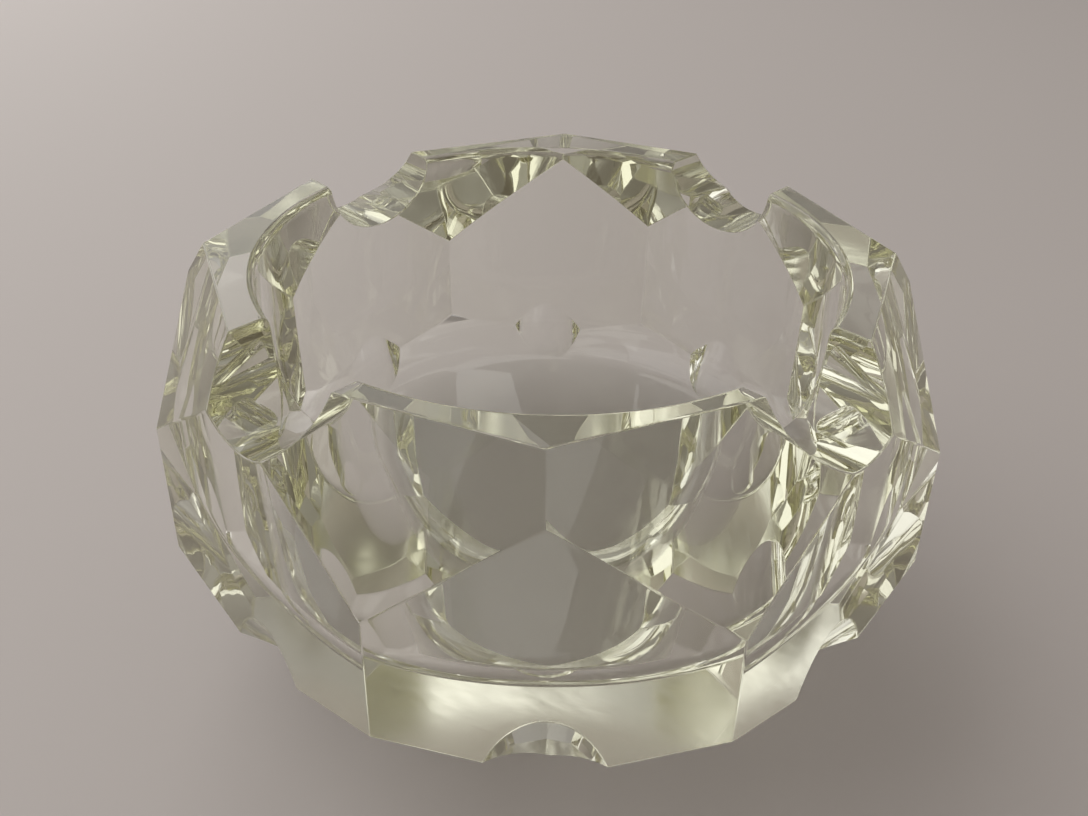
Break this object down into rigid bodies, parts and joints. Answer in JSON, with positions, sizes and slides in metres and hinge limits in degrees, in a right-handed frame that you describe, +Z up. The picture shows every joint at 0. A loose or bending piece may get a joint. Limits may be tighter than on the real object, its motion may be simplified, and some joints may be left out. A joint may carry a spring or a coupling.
{
  "type": "glass ashtray",
  "caption": "Heavy one-piece octagonal cut-glass ashtray: round well, flat rim crossed by cigar rests, bevels above and below the corners and eight short flutes in the lower edge.",
  "frame": {"origin": "centre of the flat base, on the table plane", "axes": "+Z up out of the well; the cigar rests lie along +X, -X, +Y and -Y, and an uncut rim corner lies midway between each pair"},
  "size_m": [0.1224, 0.1224, 0.074],
  "materials": {
    "glass": "polished"
  },
  "bodies": {
    "root": {"glass_bowl": "glass"}
  },
  "joints": []
}
